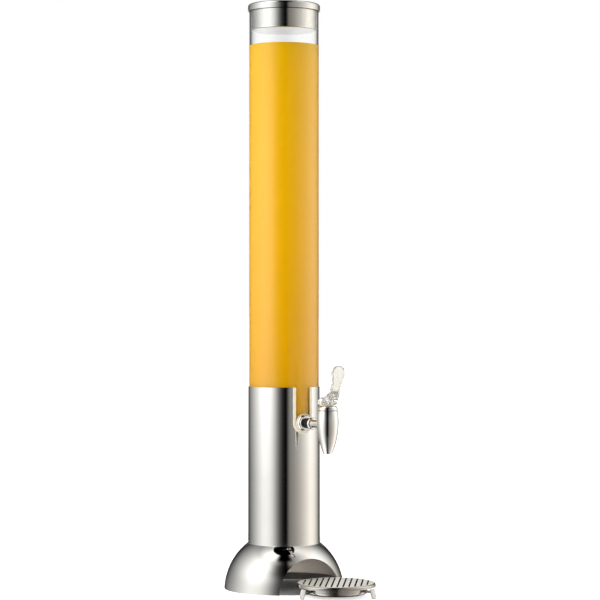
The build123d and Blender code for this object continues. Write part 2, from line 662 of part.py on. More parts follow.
def lid_cap():
    """Spun cap with a rounded, turned-down rim that fits over the tube."""
    rim_z = LID_TOP_Z - LID_RIM
    outer_bend = (LID_RADIUS, LID_TOP_Z - LID_EDGE)
    top_bend = (LID_RADIUS - LID_EDGE, LID_TOP_Z)
    inner_edge = LID_EDGE - LID_SHEET
    inner_bend = (RIM_BORE_RADIUS, LID_UNDERSIDE_Z - inner_edge)
    under_bend = (RIM_BORE_RADIUS - inner_edge, LID_UNDERSIDE_Z)
    return turned(
        TangentArc(outer_bend, top_bend, tangent=(0, 1)),
        Polyline(top_bend, (0, LID_TOP_Z), (0, LID_UNDERSIDE_Z), under_bend),
        TangentArc(inner_bend, under_bend, tangent=(0, 1)),
        Polyline(inner_bend, (RIM_BORE_RADIUS, rim_z), (LID_RADIUS, rim_z), outer_bend),
    )


def lid_plug():
    """Drawn cup under the cap, closed at its bottom."""
    top = LID_UNDERSIDE_Z - BOND_GAP
    floor = LID_PLUG_Z + LID_SHEET
    inner = LID_PLUG_RADIUS - LID_SHEET
    side_bend = (LID_PLUG_RADIUS, LID_PLUG_Z + LID_PLUG_EDGE)
    low_bend = (LID_PLUG_RADIUS - LID_PLUG_EDGE, LID_PLUG_Z)
    return turned(
        TangentArc(side_bend, low_bend, tangent=(0, -1)),
        Polyline(
            low_bend,
            (0, LID_PLUG_Z),
            (0, floor),
            (inner, floor),
            (inner, top),
            (LID_PLUG_RADIUS, top),
            side_bend,
        ),
    )


def lid_seal():
    """Flat silicone ring between the plug and the rim, above the tube's edge."""
    inner = LID_PLUG_RADIUS + BOND_GAP
    outer = RIM_BORE_RADIUS - (LID_EDGE - LID_SHEET)
    low = TUBE_TOP_Z + SLIDE_GAP
    return ring(inner, outer, low, low + LID_SEAL_THICKNESS)


# Drip tray


def tray_grille():
    """Round cover with a rounded, turned-down rim and parallel slits."""
    inner_edge = GRILLE_EDGE - GRILLE_SHEET
    rim_inner = TRAY_RADIUS - GRILLE_SHEET
    rim_z = TRAY_TOP - GRILLE_RIM
    outer_bend = (TRAY_RADIUS, TRAY_TOP - GRILLE_EDGE)
    top_bend = (TRAY_RADIUS - GRILLE_EDGE, TRAY_TOP)
    inner_bend = (rim_inner, GRILLE_UNDERSIDE_Z - inner_edge)
    under_bend = (rim_inner - inner_edge, GRILLE_UNDERSIDE_Z)
    cover = turned(
        TangentArc(outer_bend, top_bend, tangent=(0, 1)),
        Polyline(top_bend, (0, TRAY_TOP), (0, GRILLE_UNDERSIDE_Z), under_bend),
        TangentArc(inner_bend, under_bend, tangent=(0, 1)),
        Polyline(inner_bend, (rim_inner, rim_z), (TRAY_RADIUS, rim_z), outer_bend),
    )
    field_radius = TRAY_RADIUS - SLIT_MARGIN
    offsets = [(index - (SLIT_COUNT - 1) / 2) * SLIT_PITCH for index in range(SLIT_COUNT)]
    slits = [
        Pos(offset, 0, TRAY_TOP)
        * Box(SLIT_WIDTH, 2 * sqrt(field_radius**2 - offset**2), 4 * GRILLE_SHEET)
        for offset in offsets
        if abs(offset) + SLIT_WIDTH < field_radius
    ]
    return TRAY_PLACE * (Rot(0, 0, -SLIT_TURN) * (cover - slits))


def tray_dish():
    """Shallow dish with a flange that carries the grille."""
    under = DISH_TOP_Z - DISH_SHEET
    floor = DISH_FLOOR_GAP + DISH_SHEET
    bore = DISH_RADIUS - DISH_SHEET
    inner_corner = DISH_CORNER - DISH_SHEET
    outer_low = (DISH_RADIUS - DISH_CORNER, DISH_FLOOR_GAP)
    outer_side = (DISH_RADIUS, DISH_FLOOR_GAP + DISH_CORNER)
    inner_low = (bore - inner_corner, floor)
    inner_side = (bore, floor + inner_corner)
    return TRAY_PLACE * turned(
        TangentArc(outer_low, outer_side, tangent=(1, 0)),
        Polyline(
            outer_side,
            (DISH_RADIUS, under),
            (FLANGE_RADIUS, under),
            (FLANGE_RADIUS, DISH_TOP_Z),
            (bore, DISH_TOP_Z),
            inner_side,
        ),
        TangentArc(inner_low, inner_side, tangent=(1, 0)),
        Polyline(inner_low, (0, floor), (0, DISH_FLOOR_GAP), outer_low),
    )


def leg_line(z):
    """Point on a leg's middle line at a height, in the plane of radius and height."""
    return Vector(FOOT_REACH - (z - FOOT_BALL_Z) * tan(LEG_SPLAY), 0, z)


def leg_rod(radius, low, high):
    """Round rod along a leg's middle line between two heights."""
    start, end = leg_line(low), leg_line(high)
    return extrude(Plane(origin=start, z_dir=end - start) * Circle(radius), (end - start).length)


def round_the_tray(leg):
    """The same leg at each place round the tray, as one group of separate solids."""
    turns = [FOOT_TURN + 360 / FOOT_COUNT * index for index in range(FOOT_COUNT)]
    return Compound([TRAY_PLACE * (Rot(0, 0, turn) * leg) for turn in turns])


def bent_stud(radius, low, start):
    """Bent rod: level from a radius on the tray to a leg's middle line, then down along it to a height."""
    bend = leg_line(STUD_RISE)
    level = extrude(Plane(origin=(start, 0, STUD_RISE), z_dir=(1, 0, 0)) * Circle(radius), bend.X - start)
    return level + Pos(bend) * Sphere(radius) + leg_rod(radius, low, STUD_RISE)


def tray_studs():
    """Steel studs that stand out from the dish's wall and bend down into the feet."""
    return round_the_tray(bent_stud(STUD_RADIUS, FOOT_SOCKET_Z, DISH_RADIUS + BOND_GAP))


def tray_feet():
    """Translucent sleeves with rounded ends, moulded on the studs and flattened on the floor."""
    ball = Pos(leg_line(FOOT_BALL_Z)) * Sphere(FOOT_RADIUS)
    sleeve = leg_rod(FOOT_RADIUS, FOOT_BALL_Z, FOOT_TOP_Z) + ball
    socket = bent_stud(STUD_RADIUS + BOND_GAP, FOOT_SOCKET_Z - BOND_GAP, DISH_RADIUS)
    return round_the_tray((sleeve - socket) & disc(2 * TRAY_RADIUS, 0, TRAY_TOP))


NODES = [
    dome_foot,
    column_tube,
    slot_trim,
    container_shelf,
    shelf_pad,
    juice_tube,
    tube_base,
    juice,
    outer_gasket,
    inner_gasket,
    shank_nut,
    shank_washer,
    outer_locknut,
    shank_sleeve,
    tap_body,
    tap_bonnet,
    stem_seal,
    bonnet_seal,
    valve_stem,
    valve_plug,
    valve_spring,
    lever_pin,
    tap_lever,
    lid_cap,
    lid_plug,
    lid_seal,
    tray_grille,
    tray_dish,
    tray_studs,
    tray_feet,
]

os.makedirs("parts", exist_ok=True)
for node in NODES:
    save(node.__name__, node())
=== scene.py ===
import math

import bmesh
import bpy
import numpy as np
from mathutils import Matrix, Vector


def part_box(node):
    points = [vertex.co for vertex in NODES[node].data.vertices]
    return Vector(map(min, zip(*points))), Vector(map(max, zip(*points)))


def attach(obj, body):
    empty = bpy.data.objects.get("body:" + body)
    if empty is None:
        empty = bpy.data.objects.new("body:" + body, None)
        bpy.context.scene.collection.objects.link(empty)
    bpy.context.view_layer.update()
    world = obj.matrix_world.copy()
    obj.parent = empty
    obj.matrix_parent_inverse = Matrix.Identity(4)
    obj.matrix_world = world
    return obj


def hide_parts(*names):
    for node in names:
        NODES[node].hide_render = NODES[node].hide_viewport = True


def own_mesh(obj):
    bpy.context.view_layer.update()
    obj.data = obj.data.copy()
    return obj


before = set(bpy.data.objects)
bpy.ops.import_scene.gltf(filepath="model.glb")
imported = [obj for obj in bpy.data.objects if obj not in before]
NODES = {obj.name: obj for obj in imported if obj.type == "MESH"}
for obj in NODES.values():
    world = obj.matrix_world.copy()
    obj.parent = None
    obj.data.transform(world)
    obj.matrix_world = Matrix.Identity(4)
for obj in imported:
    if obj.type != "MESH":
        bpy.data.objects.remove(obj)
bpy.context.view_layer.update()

bl_info = {
    "name": "Juice Dispenser Finishes",
    "version": (1, 0, 0),
    "blender": (4, 5, 0),
    "location": "View3D > Sidebar > Dispenser",
    "description": "Finishes, fine surfaces and stage of a table-top juice dispenser",
    "category": "Object",
}

WHITE = (1.0, 1.0, 1.0, 1.0)

# Steps of a full turn, the gap between a new surface and what it fits on, reaches within which points are
# merged and edges dropped, the angle from which an edge is sharp, and the height of fine marks
ROUND_STEPS = 192
FIT_GAP = 0.05e-3
MERGE_REACH = 1e-7
SLIVER_REACH = 1e-8
SHARP_EDGE = math.radians(40)
FINE_RELIEF = 0.0001

# How pressed steel differs from polished steel, and the brightness of the shade painted into seams
PRESSED_ROUGHNESS = 0.45
PRESSED_MATT = 0.9
PAINTED_SEAM_SHADE = 0.12

# Marks per metre along each axis
DRAWN_LINES = (900.0, 900.0, 5.0)
SPUN_LINES = (700.0, 1.0, 700.0)
GROUND_LINES = (900.0, 1.0, 900.0)
CAST_MARKS = (300.0, 300.0, 300.0)
BRUSHED_LINES = (1100.0, 1.0, 1100.0)
TURNED_MARKS = (300.0, 300.0, 3000.0)
TUBE_LINES = (160.0, 160.0, 2.0)
MOULD_MARKS = (90.0, 90.0, 90.0)

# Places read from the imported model
TUBE_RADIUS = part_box("juice_tube")[1].x
JUICE_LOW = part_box("juice")[0].z
JUICE_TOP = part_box("juice")[1].z
COLUMN_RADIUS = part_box("column_tube")[1].x
COLUMN_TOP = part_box("column_tube")[1].z
LEDGE_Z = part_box("dome_foot")[1].z
DOME_FOOT_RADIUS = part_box("dome_foot")[1].x
TRIM_FRONT = -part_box("slot_trim")[0].y
TRIM_HALF_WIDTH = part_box("slot_trim")[1].x
SHANK_Z = (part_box("outer_locknut")[0].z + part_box("outer_locknut")[1].z) / 2
GASKET_FRONT = -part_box("outer_gasket")[0].y
GASKET_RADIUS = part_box("outer_gasket")[1].x
SEAM_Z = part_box("tap_body")[1].z
LOCKNUT_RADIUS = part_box("outer_locknut")[1].x
TRAY_AXIS = (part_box("tray_grille")[0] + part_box("tray_grille")[1]) / 2
TRAY_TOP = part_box("tray_grille")[1].z


# Settings


class FinishSettings(bpy.types.PropertyGroup):
    """Colours of the dispenser's finishes."""

    steel: bpy.props.FloatVectorProperty(
        name="Polished steel", description="Tint of the mirror-polished stainless steel",
        subtype="COLOR", size=3, min=0, max=1, default=(0.60, 0.592, 0.565))
    chrome: bpy.props.FloatVectorProperty(
        name="Chrome", description="Tint of the chromed tap",
        subtype="COLOR", size=3, min=0, max=1, default=(0.66, 0.645, 0.61))
    tray_steel: bpy.props.FloatVectorProperty(
        name="Brushed steel", description="Tint of the brushed drip tray",
        subtype="COLOR", size=3, min=0, max=1, default=(0.72, 0.68, 0.615))
    pressed: bpy.props.FloatVectorProperty(
        name="Pressed steel", description="Colour of the dome's unpolished inside",
        subtype="COLOR", size=3, min=0, max=1, default=(0.98, 0.90, 0.80))
    turned_steel: bpy.props.FloatVectorProperty(
        name="Turned steel", description="Tint of the plain turned pins, nuts and studs",
        subtype="COLOR", size=3, min=0, max=1, default=(0.52, 0.515, 0.505))
    acrylic: bpy.props.FloatVectorProperty(
        name="Clear acrylic", description="Tint of the clear tube",
        subtype="COLOR", size=3, min=0, max=1, default=(0.985, 0.99, 0.985))
    lever: bpy.props.FloatVectorProperty(
        name="Lever acrylic", description="Tint of the moulded lever",
        subtype="COLOR", size=3, min=0, max=1, default=(0.89, 0.87, 0.80))
    juice: bpy.props.FloatVectorProperty(
        name="Juice", description="Colour of the juice",
        subtype="COLOR", size=3, min=0, max=1, default=(0.867, 0.51, 0.002))
    pulp: bpy.props.FloatVectorProperty(
        name="Pulp", description="Colour of the pulp that floats in the juice",
        subtype="COLOR", size=3, min=0, max=1, default=(0.897, 0.556, 0.006))
    # Painted shade: the tint that darkens the juice towards the bottom
    bottom_shade_tint: bpy.props.FloatVectorProperty(
        name="Settled juice", description="Tint that the juice takes on towards the bottom",
        subtype="COLOR", size=3, min=0, max=1, default=(0.925, 0.825, 0.825))
    silicone: bpy.props.FloatVectorProperty(
        name="Cream silicone", description="Colour of the slot's trim and the outer gasket",
        subtype="COLOR", size=3, min=0, max=1, default=(0.50, 0.455, 0.365))
    white_silicone: bpy.props.FloatVectorProperty(
        name="White silicone", description="Colour of the inner seals and the shelf's pad",
        subtype="COLOR", size=3, min=0, max=1, default=(0.78, 0.77, 0.73))
    rubber: bpy.props.FloatVectorProperty(
        name="Black rubber", description="Colour of the tap's sleeve and sealing rings",
        subtype="COLOR", size=3, min=0, max=1, default=(0.008, 0.008, 0.008))
    feet: bpy.props.FloatVectorProperty(
        name="Tray feet", description="Colour of the translucent feet",
        subtype="COLOR", size=3, min=0, max=1, default=(0.62, 0.59, 0.55))


class ShapeSettings(bpy.types.PropertyGroup):
    """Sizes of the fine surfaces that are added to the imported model."""

    wall: bpy.props.FloatProperty(
        name="Tube wall", description="Wall of the clear tube",
        subtype="DISTANCE", unit="LENGTH", default=0.003)
    wetting: bpy.props.FloatProperty(
        name="Wetting",
        description="How far the juice's skin lies in the tube's wall, so that no air shows between",
        subtype="DISTANCE", unit="LENGTH", default=0.0002)
    meniscus_rise: bpy.props.FloatProperty(
        name="Meniscus rise", description="How far the juice climbs at the tube's wall",
        subtype="DISTANCE", unit="LENGTH", default=0.0016)
    meniscus_width: bpy.props.FloatProperty(
        name="Meniscus width", description="How far from the wall the juice is drawn up",
        subtype="DISTANCE", unit="LENGTH", default=0.005)
    slot_half_width: bpy.props.FloatProperty(
        name="Slot half width", description="Half the width of the column's slot",
        subtype="DISTANCE", unit="LENGTH", default=0.0135)
    trim_inset: bpy.props.FloatProperty(
        name="Trim inset", description="Trim inside the slot's edge",
        subtype="DISTANCE", unit="LENGTH", default=0.0019)
    trim_lip: bpy.props.FloatProperty(
        name="Trim lip", description="Thickness of the trim's lip on the column",
        subtype="DISTANCE", unit="LENGTH", default=0.001)
    trim_round: bpy.props.FloatProperty(
        name="Trim rounding", description="Rounding of the trim's moulded edges",
        subtype="DISTANCE", unit="LENGTH", default=0.0005)
    gasket_round: bpy.props.FloatProperty(
        name="Gasket rounding", description="Rounding of the gasket's flange",
        subtype="DISTANCE", unit="LENGTH", default=0.0009)
    gasket_flange: bpy.props.FloatProperty(
        name="Gasket flange", description="Thickness of the gasket's flange",
        subtype="DISTANCE", unit="LENGTH", default=0.0027)
    shank_radius: bpy.props.FloatProperty(
        name="Shank radius", description="Radius of the tap's shank",
        subtype="DISTANCE", unit="LENGTH", default=0.0065)
    weld: bpy.props.FloatProperty(
        name="Weld", description="Size of the ground weld between dome and column",
        subtype="DISTANCE", unit="LENGTH", default=0.0007)
    ring_round: bpy.props.FloatProperty(
        name="Ring flank", description="Width of the shank rings' flank as a share of its depth",
        default=0.58)
    spring_wire: bpy.props.FloatProperty(
        name="Spring wire", description="Thickness of the valve spring's wire",
        subtype="DISTANCE", unit="LENGTH", default=0.0012)
    spring_turns: bpy.props.FloatProperty(
        name="Spring turns", description="Turns of the valve spring", default=5.5)
    stem_travel: bpy.props.FloatProperty(
        name="Stem travel", description="How far the stem lifts and shortens the spring",
        subtype="DISTANCE", unit="LENGTH", default=0.004276)
    # Width of the shade painted into the seams between the tap's screwed pieces
    seam: bpy.props.FloatProperty(
        name="Seam", description="Half the width of the dark seams between the tap's screwed pieces",
        subtype="DISTANCE", unit="LENGTH", default=0.00045)
    dome_drop: bpy.props.FloatProperty(
        name="Dome centre drop", description="How far the centre of the dome's sphere lies below the floor",
        subtype="DISTANCE", unit="LENGTH", default=0.0035)
    dome_edge: bpy.props.FloatProperty(
        name="Polished edge", description="Height to which the dome's inside is polished",
        subtype="DISTANCE", unit="LENGTH", default=0.0115)
    dome_sheet: bpy.props.FloatProperty(
        name="Dome sheet", description="Thickness of the dome's sheet",
        subtype="DISTANCE", unit="LENGTH", default=0.0015)


class StageSettings(bpy.types.PropertyGroup):
    """Camera, floor and light of the picture."""

    camera_turn: bpy.props.FloatProperty(
        name="Camera turn", description="Direction of the camera round the column",
        subtype="ANGLE", default=math.radians(-32.25))
    camera_distance: bpy.props.FloatProperty(
        name="Camera distance", description="Distance of the camera from the column's axis",
        subtype="DISTANCE", unit="LENGTH", default=3.009)
    camera_side: bpy.props.FloatProperty(
        name="Camera side step", description="How far the camera stands to the right of the column",
        subtype="DISTANCE", unit="LENGTH", default=0.0229)
    camera_height: bpy.props.FloatProperty(
        name="Camera height", description="Height of the level camera above the floor",
        subtype="DISTANCE", unit="LENGTH", default=0.4119)
    lens: bpy.props.FloatProperty(
        name="Lens", description="Focal length on a sensor 36 mm wide", unit="CAMERA", default=126)
    tent_radius: bpy.props.FloatProperty(
        name="Tent radius", description="Radius of the light tent round the table",
        subtype="DISTANCE", unit="LENGTH", default=0.62)
    tent_height: bpy.props.FloatProperty(
        name="Tent height", description="Height of the light tent's upright wall",
        subtype="DISTANCE", unit="LENGTH", default=2.3)
    fill: bpy.props.FloatProperty(
        name="Fill",
        description="Light of the soft panel round the camera, which polished surfaces don't show",
        default=1.8)
    left_fill: bpy.props.FloatProperty(
        name="Left fill", description="Light of the soft panel on the camera's left", default=4.1)
    right_fill: bpy.props.FloatProperty(
        name="Right fill", description="Light of the soft panel on the camera's right", default=2.6)
    arch_fill: bpy.props.FloatProperty(
        name="Arch fill", description="Light of the low panel in front of the arch", default=12)
    fill_height: bpy.props.FloatProperty(
        name="Fill height", description="Height of the soft panels' upper edge, below what the lid mirrors",
        subtype="DISTANCE", unit="LENGTH", default=0.8)
    right_lamp: bpy.props.FloatVectorProperty(
        name="Right lamp", description="Colour of the light from the camera's right",
        subtype="COLOR", size=3, min=0, max=1, default=(1.0, 0.945, 0.88))
    floor: bpy.props.FloatVectorProperty(
        name="Floor", description="Colour of the table top",
        subtype="COLOR", size=3, min=0, max=1, default=(0.86, 0.86, 0.86))
    floor_glow: bpy.props.FloatProperty(
        name="Floor glow", description="Light that whitens the table top where it is seen", default=0.56)
    # Radius under the dome within which a shadow is painted into the table top's colour
    painted_shadow_radius: bpy.props.FloatProperty(
        name="Floor shade", description="Radius under the dome in which the table top lies in shade",
        subtype="DISTANCE", unit="LENGTH", default=0.085)
    floor_polish: bpy.props.FloatProperty(
        name="Floor polish",
        description="Share of the table top that mirrors when polished steel shows it",
        default=0.98)


# Shader maths


class Signal:
    """One value in a shader: an output socket, on which arithmetic adds Math nodes."""

    def __init__(self, tree, socket=None):
        self.tree = tree
        self.socket = socket

    def node(self, kind, settings=None, sockets=None, output=0):
        """Adds a node of a type, applies its settings, then fills its sockets, and returns one output."""
        made = self.tree.nodes.new(kind)
        for key, value in (settings or {}).items():
            if key == "stops":
                fill_ramp(made.color_ramp, value)
            else:
                setattr(made, key, value)
        for key, value in (sockets or {}).items():
            if isinstance(value, Signal):
                self.tree.links.new(value.socket, made.inputs[key])
            else:
                made.inputs[key].default_value = value
        return Signal(self.tree, made.outputs[output] if made.outputs else None)

    def math(self, operation, *values):
        """Math node of an operation on values."""
        return self.node("ShaderNodeMath", {"operation": operation}, dict(enumerate(values)))

    def __add__(self, other):
        return self.math("ADD", self, other)

    def __radd__(self, other):
        return self.math("ADD", other, self)

    def __sub__(self, other):
        return self.math("SUBTRACT", self, other)

    def __rsub__(self, other):
        return self.math("SUBTRACT", other, self)

    def __mul__(self, other):
        return self.math("MULTIPLY", self, other)

    def __rmul__(self, other):
        return self.math("MULTIPLY", other, self)


def fill_ramp(ramp, stops):
    """Puts stops of place and colour into a ramp."""
    while len(ramp.elements) < len(stops):
        ramp.elements.new(1.0)
    for element, (place, colour) in zip(ramp.elements, stops):
        element.position = place
        element.color = colour


def opaque(colour):
    """Colour with full alpha."""
    return (*colour, 1.0)


def start_material(name):
    """New material with an empty tree, as the material and a signal that adds nodes to it."""
    material = bpy.data.materials.new(name)
    material.use_nodes = True
    material.node_tree.nodes.clear()
    return material, Signal(material.node_tree)


def end_material(start, constants, varying):
    """Principled shader with values that are the same all over and values that change, and the output."""
    shader = start.node("ShaderNodeBsdfPrincipled", None, {**constants, **varying})
    start.node("ShaderNodeOutputMaterial", None, {"Surface": shader})


def noise(start, place, scale, detail=3.0, roughness=0.5):
    """Noise between 0 and 1 at a place, with a scale in features per metre."""
    sockets = {"Vector": place, "Scale": scale, "Detail": detail, "Roughness": roughness}
    return start.node("ShaderNodeTexNoise", None, sockets, "Fac")


def stretched(start, place, scale, shift=(0.0, 0.0, 0.0)):
    """Place moved and then stretched along each axis."""
    return start.node("ShaderNodeMapping", None, {"Vector": place, "Location": shift, "Scale": scale})


def blend_colour(start, factor, first, second):
    """Mix of two colours."""
    settings = {"data_type": "RGBA"}
    sockets = {0: factor, 6: first, 7: second}
    return start.node("ShaderNodeMix", settings, sockets, 2)


def spread(start, value, low, high):
    """Value spread from a low and a high limit to the whole range from 0 to 1."""
    sockets = {"Value": value, "From Min": low, "From Max": high}
    return start.node("ShaderNodeMapRange", None, sockets)


def bump(start, height, strength, distance):
    """Normal of a surface raised by a height."""
    sockets = {"Height": height, "Strength": strength, "Distance": distance}
    return start.node("ShaderNodeBump", None, sockets)


def object_place(start):
    """Object coordinates, in metres."""
    return start.node("ShaderNodeTexCoord", output="Object")


def table_height(start):
    """Height above the table, in metres."""
    return start.node("ShaderNodeSeparateXYZ", None, {0: object_place(start)}, "Z")


def ring_place(start, axis):
    """Distance from an upright axis, and height, as a place for marks that run round that axis."""
    radius = distance_from(start, (axis[0], axis[1], 0.0), (1.0, 1.0, 0.0))
    return start.node("ShaderNodeCombineXYZ", None, {"X": radius, "Z": table_height(start)})


def column_rings(start):
    """Place for marks that run round the column's axis."""
    return ring_place(start, (0.0, 0.0))


def distance_from(start, centre, across=(1.0, 1.0, 1.0)):
    """Distance from a point, counted only along the axes whose share is one."""
    away = stretched(start, object_place(start), across, tuple(-c * a for c, a in zip(centre, across)))
    return start.node("ShaderNodeVectorMath", {"operation": "LENGTH"}, {0: away}, "Value")


def near(start, value, centre, reach):
    """One where a value is within a reach of a centre, with a soft edge."""
    inner = 0.6 * reach
    return spread(start, start.math("ABSOLUTE", value - centre), reach, inner)


def ray_facts(start, *facts):
    """What is known about the ray that meets the surface, as one signal for each fact."""
    return [start.node("ShaderNodeLightPath", output=fact) for fact in facts]


def darker(colour, share):
    """Colour at a share of its brightness."""
    return tuple(share * part for part in colour)


def uneven(start, factor, colour, share):
    """Colour that falls to a share of its brightness where a factor is one."""
    return blend_colour(start, factor, opaque(colour), opaque(darker(colour, share)))


# Materials


def polished_metal(
        name, tint, lines_at, line_scale, roughness, line_depth, raw=None, raw_tint=None, seam=None):
    """Mirror-polished metal: faint polishing lines, wiped smudges and a slightly uneven tint. Two functions
    of the start signal may say where it is left raw from the press, and where shade is painted into a seam."""
    material, start = start_material(name)
    place = object_place(start)
    lines = noise(start, stretched(start, lines_at(start), line_scale), 1.0, 2.0)
    smudge = spread(start, noise(start, place, scale=26.0, detail=5.0, roughness=0.6), low=0.45, high=0.75)
    specks = spread(start, noise(start, place, scale=900.0, detail=2.0), low=0.62, high=0.75)
    colour = uneven(start, 0.6 * smudge + 0.4 * lines, tint, share=0.95)
    rough = roughness + 0.02 * smudge + 0.02 * lines + 0.02 * specks
    metallic = 1 - 0.02 * specks
    if raw:
        bare = raw(start)
        rough = rough + PRESSED_ROUGHNESS * bare
        metallic = 1 - PRESSED_MATT * bare
        colour = blend_colour(start, bare, colour, opaque(raw_tint))
    # Painted shade: the metal is darkened in a seam to stand for the shade in the gap between two pieces
    if seam:
        colour = blend_colour(start, seam(start), colour, opaque(darker(tint, PAINTED_SEAM_SHADE)))
    end_material(start, {}, {
        "Base Color": colour,
        "Metallic": metallic,
        "Roughness": rough,
        "Normal": bump(start, lines, line_depth, FINE_RELIEF),
    })
    return material


def brushed_metal(name, tint, axis, top):
    """Steel brushed round an axis: fine lines, a pale satin top and a darker, polished side."""
    material, start = start_material(name)
    place = object_place(start)
    lines = noise(start, stretched(start, ring_place(start, axis), BRUSHED_LINES), 1.0, 3.0, 0.6)
    stain = spread(start, noise(start, place, scale=70.0, detail=4.0, roughness=0.6), low=0.4, high=0.75)
    flat = spread(start, table_height(start), low=top - 0.0004, high=top - 0.0001)
    side_share = 0.58

    def worn(colour):
        return uneven(start, 0.5 * stain + 0.5 * lines, colour, share=0.86)

    end_material(start, {}, {
        "Base Color": blend_colour(start, flat, worn(darker(tint, side_share)), worn(tint)),
        "Metallic": 1 - 0.55 * flat,
        "Roughness": 0.08 + 0.26 * flat + 0.05 * lines + 0.03 * stain,
        "Normal": bump(start, lines, 0.15, FINE_RELIEF),
    })
    return material


def clear_acrylic(name, tint, line_scale, roughness, clear=1.0):
    """Clear or milky acrylic: drawing lines, wiping haze and fine dust."""
    material, start = start_material(name)
    place = object_place(start)
    lines = noise(start, stretched(start, place, line_scale), 1.0, 2.0)
    haze = spread(start, noise(start, place, scale=30.0, detail=4.0, roughness=0.6), low=0.5, high=0.8)
    dust = spread(start, noise(start, place, scale=1400.0, detail=1.0), low=0.7, high=0.8)
    end_material(start, {"Transmission Weight": clear, "IOR": 1.49, "Specular IOR Level": 0.5}, {
        "Base Color": uneven(start, haze, tint, share=0.99),
        "Roughness": roughness + 0.012 * haze + 0.02 * dust,
        "Normal": bump(start, lines, 0.03, FINE_RELIEF),
    })
    return material


def juice_material(finish):
    """Cloudy juice: fine pulp, slow swirls, and shade painted in as a deeper colour towards the bottom."""
    material, start = start_material("orange_juice")
    place = object_place(start)
    long_swirl, long_fibre = (1.0, 1.0, 0.35), (1.0, 1.0, 0.6)
    swirl = noise(start, stretched(start, place, long_swirl), scale=28.0, detail=4.0, roughness=0.55)
    flecks = noise(start, stretched(start, place, long_fibre), scale=620.0, detail=3.0)
    fibres = spread(start, flecks, low=0.45, high=0.75)
    pulp = 0.5 * swirl + 0.35 * fibres
    depth = spread(start, table_height(start), JUICE_TOP, JUICE_LOW)

    def cloudy(tint):
        """Juice and pulp, both times a tint."""
        clear, floating = (opaque(np.multiply(colour, tint)) for colour in (finish.juice, finish.pulp))
        return blend_colour(start, pulp, clear, floating)

    end_material(start, {"Specular IOR Level": 0.0, "IOR": 1.34}, {
        # Painted shade: the colour deepens towards the bottom of the juice
        "Base Color": blend_colour(start, depth, cloudy((1, 1, 1)), cloudy(finish.bottom_shade_tint)),
        "Roughness": 0.55 + 0.2 * fibres,
        "Normal": bump(start, fibres, 0.05, 0.0003),
    })
    return material


def soft_material(name, colour, roughness, through, gloss=0.4):
    """Moulded rubber or silicone: mottled colour, satin skin and a fine grain."""
    material, start = start_material(name)
    place = object_place(start)
    mottle = spread(start, noise(start, place, scale=120.0, detail=4.0, roughness=0.6), low=0.35, high=0.7)
    grain = noise(start, place, scale=2600.0, detail=2.0)
    end_material(start, {"Transmission Weight": through, "IOR": 1.41, "Specular IOR Level": gloss}, {
        "Base Color": uneven(start, mottle, colour, share=0.9),
        "Roughness": roughness + 0.12 * mottle + 0.08 * grain,
        "Normal": bump(start, grain, 0.12, FINE_RELIEF),
    })
    return material


def turned_metal(name, tint):
    """Plain turned steel with tool marks across it."""
    material, start = start_material(name)
    place = object_place(start)
    marks = noise(start, stretched(start, place, TURNED_MARKS), 1.0, 2.0)
    stain = spread(start, noise(start, place, scale=160.0, detail=4.0), low=0.4, high=0.75)
    end_material(start, {"Metallic": 1.0}, {
        "Base Color": uneven(start, stain, tint, share=0.82),
        "Roughness": 0.2 + 0.12 * marks + 0.08 * stain,
        "Normal": bump(start, marks, 0.15, FINE_RELIEF),
    })
    return material


def paint(names, material):
    """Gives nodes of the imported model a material."""
    for name in names:
        node = NODES[name]
        if node.material_slots:
            node.material_slots[0].material = material
        else:
            node.data.materials.append(material)


# Surfaces


def surface(name, points, material, across=True, along=False):
    """Mesh on a grid of points: four neighbours make a face, and a grid can close across or along itself."""
    rows, columns = points.shape[:2]
    index = np.arange(rows * columns).reshape(rows, columns)
    if across:
        index = np.concatenate([index, index[:, :1]], axis=1)
    if along:
        index = np.concatenate([index, index[:1]], axis=0)
    corners = [index[:-1, :-1], index[:-1, 1:], index[1:, 1:], index[1:, :-1]]
    faces = np.stack(corners, axis=-1).reshape(-1, 4)
    mesh = bpy.data.meshes.new(name)
    mesh.from_pydata(points.reshape(-1, 3).tolist(), [], faces.tolist())
    clean = bmesh.new()
    clean.from_mesh(mesh)
    bmesh.ops.remove_doubles(clean, verts=clean.verts, dist=MERGE_REACH)
    bmesh.ops.dissolve_degenerate(clean, edges=clean.edges, dist=SLIVER_REACH)
    bmesh.ops.recalc_face_normals(clean, faces=clean.faces)
    clean.to_mesh(mesh)
    clean.free()
    mesh.shade_smooth()
    mesh.set_sharp_from_angle(angle=SHARP_EDGE)
    mesh.materials.append(material)
    piece = bpy.data.objects.new(name, mesh)
    bpy.context.scene.collection.objects.link(piece)
    return piece


def angles(count):
    """Evenly spaced angles of a full turn."""
    return np.linspace(0, 2 * math.pi, count, endpoint=False)


def turned(radius, height, count=ROUND_STEPS):
    """Points turned about the Z axis: radius times cosine, radius times sine, height."""
    turn = angles(count)[None, :]
    ones = np.ones_like(turn)
    return np.stack(
        [radius[:, None] * np.cos(turn), radius[:, None] * np.sin(turn), height[:, None] * ones], axis=-1)


def on_shank(radius, reach, turn):
    """Points round the tap's shank: reach is the distance from the column's axis towards the tap."""
    return np.stack([radius * np.cos(turn), -reach, SHANK_Z + radius * np.sin(turn)], axis=-1)


